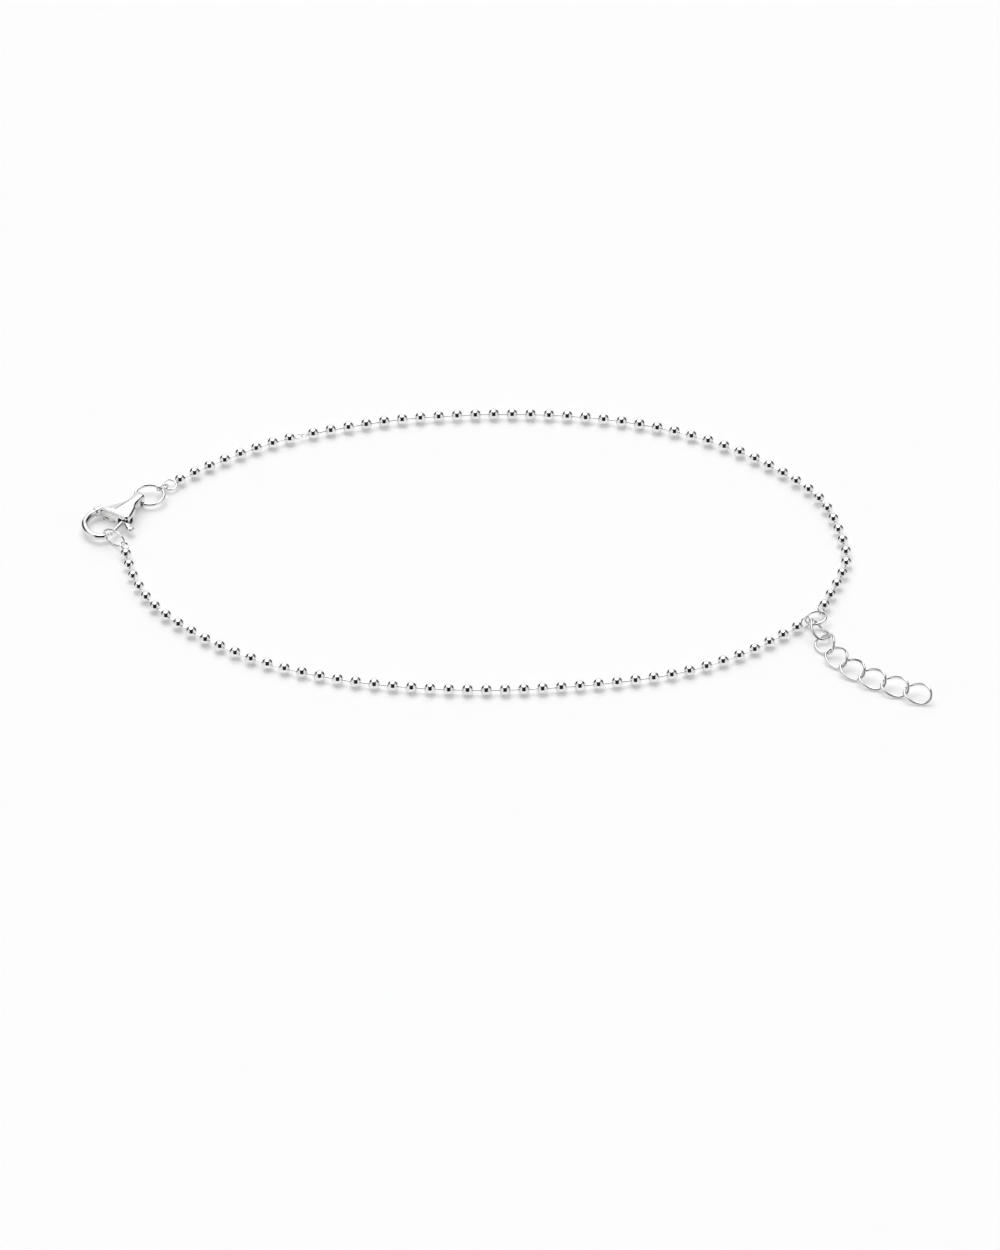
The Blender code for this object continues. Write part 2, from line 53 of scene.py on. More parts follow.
# Strands
BEAD_RADIUS = 0.6
BAR_RADIUS = 0.09
BEAD_MOUTH_RADIUS = 0.15        # rim of the hole that the bar goes into
BEAD_MOUTH_DEPTH = 0.04
JOINT_PITCHES = 1.35
UPPER_BEADS = [8, 41]           # beads before and after the small linked joint
LOWER_BEADS = [44]
UPPER_ROUTE = [
    (-32.2, 11.8), (-28.0, 15.0), (-21.7, 18.6), (-12.1, 21.6), (-4.5, 22.7), (3.0, 22.9), (10.4, 22.1),
    (17.4, 20.1), (23.9, 16.7), (29.6, 11.8), (32.7, 7.3), (34.5, 0.3), (34.3, -3.4), (32.3, -9.2),
]
LOWER_START = (2.399, -2.725)   # the first bead, from the hook's bend
LOWER_ROUTE = [
    (-36.6, -4.4), (-34.6, -9.0), (-31.0, -13.2), (-26.5, -16.8), (-21.7, -19.4),
    (-15.0, -21.6), (-7.7, -22.8), (-0.2, -23.1), (7.2, -22.5), (14.6, -21.2), (20.0, -19.4),
    (25.1, -16.5), (29.5, -12.8),
]
JOINT_LOOP = dict(half_length=0.36, half_width=0.26, wire=0.11)
JOINT_LOOP_ROLLS = (25.0, 112.0)

# Rings soldered to the strands' ends: radius and wire, then roll and rise in degrees
END_RINGS = {
    "upper_clasp": (0.66, 0.24, -16.0, -2.0),
    "upper_extension": (0.55, 0.20, 122.6, 9.4),
    "lower_clasp": (0.42, 0.20, 23.4, 19.9),
    "lower_extension": (0.55, 0.20, -106.0, 3.3),
}

# Loose rings: half length, half width and wire of each; the connector's length is read from its node
LOOSE_RINGS = {
    "clasp_jump_ring": (1.45, 1.45, 0.33),
    "connector_link": (None, 0.44, 0.20),
    "hook_ring": (1.55, 0.84, 0.20),
    "extender_ring": (1.03, 1.03, 0.30),
}
LINK_SIZE = (1.42, 1.02, 0.28)
LINK_TWIST = 0.24
LINK_COUNT = 7

# Clasp, in its own frame: the eye at the origin, +X towards the hook, +Y towards the thumb nub
CLASP_EYE = (-36.35, 8.15)
CLASP_HEADING = 232.0
CLASP_THICKNESS = 1.5
CLASP_DOME = 0.02
CLASP_EDGE = 0.24               # the pin stays this far inside the body's faces
CLASP_TOP_ROUND = (0.27, 0.38)  # how far in and how far down the body's upper rim is rounded
CLASP_LOW_ROUND = (0.32, 0.55)  # and its lower rim
BODY_LENGTH = 3.9
BODY_HALF_WIDTH = 1.65
EYE_LUG_RADIUS = 0.66
EYE_HEIGHT = 0.64
EYE_BORE_RADIUS = 0.335
JUMP_RING_TURN = 38.0
HOOK_REACH = 3.45
HOOK_HALF_WIDTH = 1.303 * BODY_HALF_WIDTH
HOOK_WIRE = 0.74
HOOK_TIP_WIRE = 0.54
COLLAR_RADIUS = 0.5
COLLAR_LENGTH = 0.9
COLLAR_EDGE = 0.08
PIVOT_AT = (0.846 * BODY_LENGTH, 0.655 * BODY_HALF_WIDTH)
PIVOT_RADIUS = 0.17
PIVOT_EDGE = 0.02
LEVER_THICKNESS = 0.50
LEVER_GAP = 0.08
LEVER_HUB_RADIUS = 0.46
LEVER_GATE_WIDTH = 0.46
LEVER_EDGE = 0.08
LEVER_SECTION_POWER = 2.6       # roundness of the lever's bars: 2 is an ellipse, more is squarer
HUB_OVERLAP = 0.03              # how far past the middle of the hub's wall the gate and the arm start
NUB_AT = (2.1, 3.0)             # from the pin, in hub radii
GATE_TIP_GAP = 0.12
NUB_RADIUS = 0.40
BODY_OUTLINE = [
    (0.27, -0.27), (0.48, -0.38), (0.70, -0.61), (0.92, -0.90), (1.00, -0.97), (1.025, -0.80), (1.00, -0.12),
    (0.99, 0.55), (0.965, 0.90), (0.88, 1.03), (0.74, 0.97), (0.48, 0.73), (0.26, 0.46),
]
HOOK_LINE = [
    (-0.12, -0.86), (0.145, -0.98), (0.406, -1.0), (0.725, -0.79), (0.942, -0.35), (1.0, 0.14), (0.884, 0.49),
    (0.68, 0.65),
]
HOOK_BEND = 6                   # the point of the hook's line that the hook ring hangs round

MOUTH_HOLLOW = ((1.022, -0.74), (1.015, 0.27))   # ends of the hollow in the mouth wall, as shares of the body
MOUTH_HOLLOW_RADIUS = 0.30
MOUTH_HOLLOW_HEIGHT = 0.50

# Camera
CAMERA_ELEVATION = 36.8
CAMERA_DISTANCE = 1470.0
PIXELS_PER_MM = 10.0
FRAME_LONG_SIDE = 1250
LOOK_DOWN_PIXELS = 75           # the strands' centre is this far above the middle of the picture
SENSOR = 36.0


# Lines

def unit(vectors):
    vectors = np.asarray(vectors, float)
    return vectors / np.linalg.norm(vectors, axis=-1, keepdims=True)


def turned(heading):
    h = radians(heading)
    return np.array([[cos(h), -sin(h)], [sin(h), cos(h)]])


def smooth_line(points, samples, closed=False):
    """A curve through the points: on each span a cubic whose end slopes are half the chord between the
    neighbours on either side."""
    points = np.asarray(points, float)
    if closed:
        padded = np.vstack([points[-1:], points, points[:2]])
    else:
        padded = np.vstack([2 * points[0] - points[1], points, 2 * points[-1] - points[-2]])
    before, start, end, after = (padded[i:len(padded) - 3 + i, None] for i in range(4))
    t = np.linspace(0, 1, samples, endpoint=False)[None, :, None]
    leave, arrive = (end - before) / 2, (after - start) / 2
    spans = ((2 * t**3 - 3 * t**2 + 1) * start + (t**3 - 2 * t**2 + t) * leave
             + (3 * t**2 - 2 * t**3) * end + (t**3 - t**2) * arrive)
    spans = spans.reshape(-1, points.shape[1])
    return spans if closed else np.vstack([spans, points[-1:]])


def run_of(curve):
    return np.concatenate([[0], np.cumsum(np.linalg.norm(np.diff(curve, axis=0), axis=1))])


def at_distances(curve, distances):
    run = run_of(curve)
    return np.stack([np.interp(distances, run, curve[:, k]) for k in range(curve.shape[1])], axis=1)


def loop_frame(centre, heading, roll, rise):
    """A loop's centre and the two directions of its plane: its long way turned about Z by the heading and
    lifted by the rise, its cross way raised by the roll."""
    h, r, q = radians(heading), radians(rise), radians(roll)
    long_way = np.array([cos(h) * cos(r), sin(h) * cos(r), sin(r)])
    level = np.array([-sin(h), cos(h), 0.0])
    return np.asarray(centre, float), long_way, level * cos(q) + np.cross(long_way, level) * sin(q)


# Surfaces, each a grid of points: rows along it and columns round it

def sweep(line, tangents, reference, radii, sides):
    """A round bar along a line: at each point a circle of that point's radius, square to the line, whose
    first direction is square to the reference."""
    ahead = unit(tangents)
    side = unit(np.cross(ahead, reference))
    up = np.cross(side, ahead)
    a = 2 * pi * np.arange(sides) / sides
    radii = np.broadcast_to(radii, len(line))[:, None, None]
    a = a[None, :, None]
    return line[:, None] + radii * (np.cos(a) * up[:, None] + np.sin(a) * side[:, None])


def wire_loop(placing, half_length, half_width, wire, twist=0.0, segments=88, sides=16):
    """A closed loop of round wire: its line is an ellipse that rises and dips twice a turn by the twist."""
    centre, long_way, cross_way = placing
    normal = np.cross(long_way, cross_way)
    t = 2 * pi * np.arange(segments)[:, None] / segments
    line = (centre + np.cos(t) * half_length * long_way + np.sin(t) * half_width * cross_way
            + np.sin(2 * t) * twist * normal)
    slope = (-np.sin(t) * half_length * long_way + np.cos(t) * half_width * cross_way
             + 2 * np.cos(2 * t) * twist * normal)
    return dict(grid=sweep(line, slope, normal, wire / 2, sides), closed=True)


def bead_run(centres, ahead, sides=28, rows=15):
    """A run of beads on one bar: each bead a sphere, radius R sin(a) at -R cos(a) along the run, whose two
    mouths dip in from their rims to the bar."""
    mouth = np.arcsin(BEAD_MOUTH_RADIUS / BEAD_RADIUS)
    a = np.linspace(mouth, pi - mouth, rows)
    rim = BEAD_RADIUS * cos(mouth)
    inner = rim - BEAD_MOUTH_DEPTH
    offsets = np.concatenate([[-inner, -rim], -BEAD_RADIUS * np.cos(a), [rim, inner]])
    radii = np.concatenate([[BAR_RADIUS, 0.5 * (BAR_RADIUS + BEAD_MOUTH_RADIUS)], BEAD_RADIUS * np.sin(a),
                            [0.5 * (BAR_RADIUS + BEAD_MOUTH_RADIUS), BAR_RADIUS]])
    line = (centres[:, None] + offsets[None, :, None] * ahead[:, None]).reshape(-1, 3)
    slopes = np.repeat(ahead, len(offsets), axis=0)
    return dict(grid=sweep(line, slopes, (0, 0, 1), np.tile(radii, len(centres)), sides), closed=False)


def round_ended(curve, radii, reference, sides):
    """A bar along an open curve that ends in a dome: past the last point the radius falls as a quarter
    circle."""
    a = np.linspace(0, pi / 2, 6)[1:-1]
    ahead = unit(curve[-1] - curve[-2])
    dome = curve[-1] + radii[-1] * np.sin(a)[:, None] * ahead
    line = np.vstack([curve, dome])
    slopes = np.vstack([np.gradient(curve, axis=0), np.repeat(ahead[None], len(a), axis=0)])
    return dict(grid=sweep(line, slopes, reference, np.concatenate([radii, radii[-1] * np.cos(a)]), sides),
                closed=False)


def rod(start, end, radius, ease, sides=36):
    """A straight round rod with eased rims."""
    start, end = np.asarray(start, float), np.asarray(end, float)
    ahead = unit(end - start)
    length = np.linalg.norm(end - start)
    a = np.linspace(0, pi / 2, 5)
    rise = ease * (1 - np.cos(a))
    offsets = np.concatenate([rise, length - rise[::-1]])
    radii = np.concatenate([radius - ease + ease * np.sin(a), (radius - ease + ease * np.sin(a))[::-1]])
    line = start + offsets[:, None] * ahead
    reference = (0.2, 0.3, 1.0) if abs(ahead[2]) < 0.9 else (1.0, 0.0, 0.0)
    slopes = np.repeat(ahead[None], len(line), axis=0)
    return dict(grid=sweep(line, slopes, reference, radii, sides), closed=False)


def inset(outline, distance):
    """The outline moved inwards, square to the chord between each point's neighbours."""
    after, before = np.roll(outline, -1, axis=0), np.roll(outline, 1, axis=0)
    chord = unit(after - before)
    area = np.sum(outline[:, 0] * after[:, 1] - after[:, 0] * outline[:, 1])
    return outline + distance * np.sign(area) * np.column_stack([-chord[:, 1], chord[:, 0]])


def cast_plate(outline, high, low_round, top_round, dome, draw_to):
    """A cast plate on the floor: each rim is a quarter ellipse, as far in and as tall as its pair says. From
    the inner end of the upper rim the rings draw in towards the given points, and rise by the dome times
    1 - (1 - s) squared."""
    a = np.linspace(0, pi / 2, 9)
    rings = [np.column_stack([inset(outline, low_round[0] * (1 - sin(x))),
                              np.full(len(outline), low_round[1] * (1 - cos(x)))]) for x in a]
    top = high - dome
    rings += [np.column_stack([inset(outline, top_round[0] * (1 - cos(x))),
                               np.full(len(outline), top - top_round[1] * (1 - sin(x)))]) for x in a]
    inner = inset(outline, top_round[0])
    for s in (0.1, 0.2, 0.35, 0.5, 0.65, 0.8, 0.92):
        ring = inner + s * (draw_to(inner) - inner)
        rings.append(np.column_stack([ring, np.full(len(ring), top + dome * (1 - (1 - s)**2))]))
    return dict(grid=np.stack(rings), closed=False)


def mesh_of(name, shells):
    """One mesh of the shells' grids: quads between neighbouring points, a face over each open end, and a
    UV map that runs along each shell in millimetres and once round it."""
    points, faces, spots, first = [], [], [], 0
    for shell in shells:
        grid = shell["grid"]
        rows, columns = grid.shape[:2]
        i = np.arange(rows if shell["closed"] else rows - 1)[:, None]
        j = np.arange(columns)[None, :]
        corners = ((0, 0), (0, 1), (1, 1), (1, 0))
        index = [first + (i + a) % rows * columns + (j + b) % columns for a, b in corners]
        faces += np.stack(index, axis=-1).reshape(-1, 4).tolist()
        middle = grid.mean(axis=1)
        run = run_of(np.vstack([middle, middle[:1]]))
        along = np.stack([np.broadcast_to(run[i + a], (len(i), columns)) for a, _ in corners], axis=-1)
        across = np.stack([np.broadcast_to((j + b) / columns, (len(i), columns)) for _, b in corners],
                          axis=-1)
        spots.append(np.stack([along, across], axis=-1).reshape(-1, 2))
        if not shell["closed"]:
            last = first + (rows - 1) * columns
            faces += [list(range(first, first + columns)), list(range(last, last + columns))]
            spots.append(np.zeros((2 * columns, 2)))
        points.append(grid.reshape(-1, 3))
        first += rows * columns
    mesh = bpy.data.meshes.new(name)
    mesh.from_pydata((np.vstack(points) * MM).tolist(), [], faces)
    layer = mesh.uv_layers.new(name="run")
    layer.data.foreach_set("uv", np.vstack(spots).astype(np.float32).ravel())
    return mesh


def add_piece(name, mesh, material, body, node, crease=40):
    """A finished piece that stands for a CAD node and rides on its body."""
    work = bmesh.new()
    work.from_mesh(mesh)
    bmesh.ops.recalc_face_normals(work, faces=work.faces)
    work.to_mesh(mesh)
    work.free()
    mesh.shade_smooth()
    mesh.set_sharp_from_angle(angle=radians(crease))
    mesh.materials.clear()
    mesh.materials.append(material)
    piece = bpy.data.objects.new(name, mesh)
    bpy.context.scene.collection.objects.link(piece)
    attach(piece, body)
    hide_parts(node)
    return piece


def cut(mesh, cutters):
    """The mesh with the cutters' shells taken out of it."""
    scene = bpy.context.scene.collection
    piece = bpy.data.objects.new("being_cut", mesh)
    scene.objects.link(piece)
    tools = []
    for shell in cutters:
        tool = bpy.data.objects.new("cutter", mesh_of("cutter", [shell]))
        scene.objects.link(tool)
        tools.append(tool)
        step = piece.modifiers.new("cut", "BOOLEAN")
        step.operation, step.solver, step.object = "DIFFERENCE", "EXACT", tool
    bpy.context.view_layer.update()
    result = bpy.data.meshes.new_from_object(piece.evaluated_get(bpy.context.evaluated_depsgraph_get()))
    for old in [piece, *tools]:
        bpy.data.objects.remove(old, do_unlink=True)
    return result


def joined(meshes):
    work = bmesh.new()
    for mesh in meshes:
        work.from_mesh(mesh)
    result = bpy.data.meshes.new("joined")
    work.to_mesh(result)
    work.free()
    return result


# Shader maths

class Number:
    """A number that varies over a surface: arithmetic on it adds Math nodes."""

    def __init__(self, finish, socket):
        self.finish, self.socket = finish, socket

    def maths(self, operation, first, second):
        return self.finish.number("ShaderNodeMath", {"operation": operation}, {0: first, 1: second})

    def __add__(self, other):
        return self.maths("ADD", self, other)

    def __sub__(self, other):
        return self.maths("SUBTRACT", self, other)

    def __rsub__(self, other):
        return self.maths("SUBTRACT", other, self)

    def __mul__(self, other):
        return self.maths("MULTIPLY", self, other)

    __radd__ = __add__
    __rmul__ = __mul__


class Finish:
    """The nodes of one material or of the world."""

    def __init__(self, owner):
        owner.use_nodes = True
        self.tree = owner.node_tree
        self.tree.nodes.clear()

    def node(self, kind, settings=None, inputs=None):
        made = self.tree.nodes.new(kind)
        for name, value in (settings or {}).items():
            setattr(made, name, value)
        for name, value in (inputs or {}).items():
            if isinstance(value, Number):
                value = value.socket
            if isinstance(value, bpy.types.NodeSocket):
                self.tree.links.new(value, made.inputs[name])
            else:
                made.inputs[name].default_value = value
        return made

    def number(self, kind, settings=None, inputs=None, output=0):
        return Number(self, self.node(kind, settings, inputs).outputs[output])

    def ramp(self, value, low, high, to_low=0.0, to_high=1.0):
        """The value eased from one range into another."""
        return self.number("ShaderNodeMapRange", {"interpolation_type": "SMOOTHSTEP"}, {
            "Value": value, "From Min": low, "From Max": high, "To Min": to_low, "To Max": to_high})


def colour(red, green, blue):
    return (red, green, blue, 1.0)


def silver(name, light, dark, gloss, haze, grain, relief, along_wire):
    """Polished silver: a bright and a slightly greyer tone in soft patches, a polish that varies between
    the gloss and the haze, and fine marks, drawn out along the wire or all over."""
    material = bpy.data.materials.new(name)
    finish = Finish(material)
    place = finish.node("ShaderNodeTexCoord")
    if along_wire:
        stretch = finish.node("ShaderNodeMapping", None, {
            "Vector": place.outputs["UV"], "Scale": (0.35, 14.0, 1.0)})
        marks = finish.number("ShaderNodeTexNoise", None, {
            "Vector": stretch.outputs[0], "Scale": grain, "Detail": 3.0, "Roughness": 0.6})
    else:
        marks = finish.number("ShaderNodeTexNoise", None, {
            "Vector": place.outputs["Object"], "Scale": grain / MM, "Detail": 3.0, "Roughness": 0.6})
    patches = finish.number("ShaderNodeTexNoise", None, {
        "Vector": place.outputs["Object"], "Scale": 0.45 / MM, "Detail": 2.0, "Roughness": 0.5})
    cloud = finish.ramp(patches, 0.35, 0.68)
    wear = cloud * 0.75 + finish.ramp(marks, 0.4, 0.75) * 0.25
    tone = finish.node("ShaderNodeMix", {"data_type": "RGBA"}, {0: wear})
    tone.inputs[6].default_value = colour(*light)
    tone.inputs[7].default_value = colour(*dark)
    polish = gloss + (haze - gloss) * (cloud * 0.55 + finish.ramp(marks, 0.45, 0.8) * 0.45)
    bump = finish.node("ShaderNodeBump", None, {"Strength": 0.25, "Distance": relief * MM, "Height": marks})
    shader = finish.node("ShaderNodeBsdfPrincipled", None, {
        "Base Color": tone.outputs[2], "Metallic": 1.0, "Roughness": polish, "Normal": bump.outputs[0]})
    finish.node("ShaderNodeOutputMaterial", None, {"Surface": shader.outputs[0]})
    return material


BEAD_SILVER = silver("bead_silver", light=(0.88, 0.878, 0.875), dark=(0.80, 0.80, 0.80),
                     gloss=0.03, haze=0.10, grain=5.0, relief=0.003, along_wire=False)
WIRE_SILVER = silver("wire_silver", light=(0.76, 0.758, 0.752), dark=(0.66, 0.66, 0.66),
                     gloss=0.05, haze=0.14, grain=2.0, relief=0.005, along_wire=True)
CAST_SILVER = silver("cast_silver", light=(0.83, 0.827, 0.82), dark=(0.74, 0.74, 0.735),
                     gloss=0.05, haze=0.15, grain=3.0, relief=0.006, along_wire=False)


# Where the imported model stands

def clasp_to_layout(points):
    """Points of the clasp's own frame in the strands' frame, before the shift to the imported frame."""
    points = np.asarray(points, float)
    flat = points[..., :2] @ turned(CLASP_HEADING).T + CLASP_EYE
    return np.concatenate([flat, points[..., 2:]], axis=-1)


hinge = frame["joints"][0]
SHIFT = np.array([*hinge["pos_m"][:2], 0.0]) / MM - clasp_to_layout([*PIVOT_AT, 0.0])


def placed(shell, in_clasp=True):
    grid = clasp_to_layout(shell["grid"]) if in_clasp else shell["grid"]
    return dict(shell, grid=grid + SHIFT)


def node_points(node):
    mesh = frame["nodes"][node].data
    flat = np.empty(3 * len(mesh.vertices), np.float32)
    mesh.vertices.foreach_get("co", flat)
    return np.unique(np.round(flat.reshape(-1, 3).astype(float) / MM, 4), axis=0)


def node_loop(node, half_length, half_width, wire, twist=0.0):
    """The loop that a CAD ring stands for: its centre is its points' mean, its plane is spanned by their
    two widest directions, and the normal is turned so that the twist rises as the node's does."""
    points = node_points(node)
    centre = points.mean(axis=0)
    spread = points - centre
    normal, cross_way, long_way = np.linalg.eigh(spread.T @ spread)[1].T
    if half_length is None:
        half_length = np.abs(spread @ long_way).max() - wire / 2 * sin(pi / 3)
    if twist:
        t = np.arctan2(spread @ cross_way / half_width, spread @ long_way / half_length)
        if (np.sin(2 * t) * (spread @ np.cross(long_way, cross_way))).sum() < 0:
            cross_way = -cross_way
    return wire_loop((centre, long_way, cross_way), half_length, half_width, wire, twist)


# Strands

def bead_centres(route, counts):
    """Centres of a strand's beads at one even pitch, with a longer step at the joint."""
    curve = smooth_line(route, 40)
    steps = np.concatenate([[1.0] * (count - 1) + [JOINT_PITCHES] for count in counts])[:-1]
    places = np.concatenate([[0], np.cumsum(steps)])
    flat = at_distances(curve, places * run_of(curve)[-1] / places[-1])
    return np.column_stack([flat, np.full(len(flat), BEAD_RADIUS)])


def end_ring(bead, neighbour, radius, wire, roll, rise):
    heading = np.degrees(atan2(bead[1] - neighbour[1], bead[0] - neighbour[0]))
    centre, long_way, cross_way = loop_frame(bead, heading, roll, rise)
    return wire_loop((centre + (BEAD_RADIUS + radius) * long_way, long_way, cross_way), radius, radius, wire,
                     segments=48, sides=12)


def joint_loops(start, end):
    """The two small loops between two beads that hold a strand's halves together, one flat, one upright."""
    heading = np.degrees(atan2(end[1] - start[1], end[0] - start[0]))
    reach = BEAD_RADIUS + JOINT_LOOP["half_length"]
    loops = []
    for bead, sign, roll in ((start, 1, JOINT_LOOP_ROLLS[0]), (end, -1, JOINT_LOOP_ROLLS[1])):
        _, long_way, cross_way = loop_frame(bead, heading, roll, 0.0)
        loops.append(wire_loop((bead + sign * reach * long_way, long_way, cross_way), **JOINT_LOOP,
                               segments=32, sides=10))
    return loops


def strand(route, counts, first_ring, last_ring):
    centres = bead_centres(route, counts)
    ahead = unit(np.gradient(centres, axis=0))
    shells = [end_ring(centres[0], centres[1], *END_RINGS[first_ring]),
              end_ring(centres[-1], centres[-2], *END_RINGS[last_ring])]
    start = 0
    for count in counts:
        shells.append(bead_run(centres[start:start + count], ahead[start:start + count]))
        start += count
        if start < len(centres):
            shells += joint_loops(centres[start - 1], centres[start])
    return [placed(shell, in_clasp=False) for shell in shells]


bend_share = np.array(HOOK_LINE[HOOK_BEND]) * (HOOK_REACH, HOOK_HALF_WIDTH) + (BODY_LENGTH, 0)
lower_start = clasp_to_layout(np.append(bend_share, 0.0))[:2] + LOWER_START
STRANDS = {
    "upper": (UPPER_ROUTE, UPPER_BEADS, "upper_clasp", "upper_extension"),
    "lower": ([lower_start, *LOWER_ROUTE], LOWER_BEADS, "lower_clasp", "lower_extension"),
}
for side, make in STRANDS.items():
    name = f"{side}_bead_chain"
    add_piece(name, mesh_of(name, strand(*make)), BEAD_SILVER, "bracelet", f"{side}_strand")


# Loose rings and the extension chain

LINK_NODES = [f"extension_link_{number}" for number in range(1, LINK_COUNT + 1)]
RING_SIZES = LOOSE_RINGS | dict.fromkeys(LINK_NODES, (*LINK_SIZE, LINK_TWIST))
for node, size in RING_SIZES.items():
    add_piece(f"{node}_wire", mesh_of(node, [node_loop(node, *size)]), WIRE_SILVER, "bracelet",
              node)


# Clasp

def body_outline():
    """A round lug at the eye that widens to the mouth, smoothed through its points."""
    a = radians(110) + np.arange(6) * radians(140) / 5
    lug = np.column_stack([np.cos(a), np.sin(a)]) * EYE_LUG_RADIUS
    rest = np.array(BODY_OUTLINE) * (BODY_LENGTH, BODY_HALF_WIDTH)
    return smooth_line(np.vstack([lug, rest]), 8, closed=True)


def body_spine(points):
    """The nearest place on the body's middle line for each point."""
    return np.column_stack([np.clip(points[:, 0], 0.1, 0.85 * BODY_LENGTH), 0.15 * points[:, 1]])


def clasp_body():
    """The body: the cast plate with the jump ring's bore, the lever's slot and a spindle, radius
    R sin(pi s) to the power 0.6, taken out of it, and the hook, the collar and the lever's pin."""
    middle = CLASP_THICKNESS / 2
    plate = placed(cast_plate(body_outline(), CLASP_THICKNESS, CLASP_LOW_ROUND, CLASP_TOP_ROUND, CLASP_DOME,
                              body_spine))

    across = turned(JUMP_RING_TURN + 90 - CLASP_HEADING) @ (1.0, 0.0)
    reach = 2 * EYE_LUG_RADIUS * np.append(across, 0)
    bore = rod((0, 0, EYE_HEIGHT) - reach, (0, 0, EYE_HEIGHT) + reach, EYE_BORE_RADIUS, 0.001)

    half_slot = LEVER_THICKNESS / 2 + LEVER_GAP
    back = LEVER_HUB_RADIUS + LEVER_GAP
    far = BODY_LENGTH + HOOK_REACH / 2
    corners = np.array([
        (PIVOT_AT[0] - back, PIVOT_AT[1] - back), (far, PIVOT_AT[1] - back), (far, 2 * BODY_HALF_WIDTH),
        (PIVOT_AT[0] - back, 2 * BODY_HALF_WIDTH)])
    levels = [middle - half_slot, middle + half_slot]
    slot = dict(grid=np.stack([np.column_stack([corners, np.full(4, level)]) for level in levels]),
                closed=False)

    start, end = np.column_stack([np.array(MOUTH_HOLLOW) * (BODY_LENGTH, BODY_HALF_WIDTH),
                                  [MOUTH_HOLLOW_HEIGHT] * 2])
    share = np.linspace(0.01, 0.99, 24)
    hollow = dict(grid=sweep(start + share[:, None] * (end - start), np.repeat([end - start], 24, axis=0),
                             (0, 0, 1), MOUTH_HOLLOW_RADIUS * np.sin(pi * share)**0.6, 28), closed=False)
    plate_mesh = cut(mesh_of("clasp_plate", [plate]), [placed(bore), placed(slot), placed(hollow)])

    line = np.array(HOOK_LINE) * (HOOK_REACH, HOOK_HALF_WIDTH) + (BODY_LENGTH, 0)
    curve = smooth_line(line, 30)
    curve = at_distances(curve, np.linspace(0, run_of(curve)[-1], 72))
    share = np.linspace(0, 1, len(curve))
    radii = (HOOK_WIRE + (HOOK_TIP_WIRE - HOOK_WIRE) * np.clip(share * 2 - 1, 0, 1)) / 2
    curve = np.column_stack([curve, np.full(len(curve), middle)])
    hook = round_ended(curve[:-3], radii[:-3], (0, 0, 1), 28)

    way = unit(line[1] - line[0])
    centre = line[0] + 0.4 * (line[1] - line[0])
    ends = [np.append(centre + s * COLLAR_LENGTH / 2 * way, middle) for s in (-1, 1)]
    collar = rod(*ends, COLLAR_RADIUS, COLLAR_EDGE)
    pin = rod((*PIVOT_AT, CLASP_EDGE), (*PIVOT_AT, CLASP_THICKNESS - CLASP_EDGE), PIVOT_RADIUS, PIVOT_EDGE)
    return joined([plate_mesh, mesh_of("clasp_wire", [placed(shell) for shell in (hook, collar, pin)])])


def flat_bar(line, half_width, half_thick, sides=24):
    """A bar along a line in the clasp's plane whose section is a rounded oblong: the curve
    |x/a|^p + |z/b|^p = 1, with the lever's section power p. The half sizes are given at each point."""
    ahead = unit(np.gradient(line, axis=0))
    side = np.column_stack([-ahead[:, 1], ahead[:, 0], np.zeros(len(line))])
    a = 2 * pi * (np.arange(sides) + 0.5) / sides
    across = np.sign(np.cos(a)) * np.abs(np.cos(a))**(2 / LEVER_SECTION_POWER)
    over = np.sign(np.sin(a)) * np.abs(np.sin(a))**(2 / LEVER_SECTION_POWER)
    grid = (line[:, None] + (half_width[:, None] * across[None])[..., None] * side[:, None]
            + (half_thick[:, None] * over[None])[..., None] * np.array([0.0, 0.0, 1.0]))
    return dict(grid=grid, closed=False)


def washer(centre, inner, outer, low, high, ease, turns=48, corner=5):
    """A ring with a hole, its section a rectangle with quarter-circle corners, carried round the centre."""
    a = np.linspace(0, pi / 2, corner)
    quarter = ease * np.column_stack([np.cos(a), np.sin(a)])
    corners = [(outer - ease, high - ease), (inner + ease, high - ease), (inner + ease, low + ease),
               (outer - ease, low + ease)]
    section = np.vstack([np.array(at) + quarter @ turned(90 * k).T for k, at in enumerate(corners)])
    t = 2 * pi * np.arange(turns)[:, None] / turns
    grid = np.stack([centre[0] + np.cos(t) * section[:, 0], centre[1] + np.sin(t) * section[:, 0],
                     np.broadcast_to(section[:, 1], (turns, len(section)))], axis=-1)
    return dict(grid=grid, closed=True)


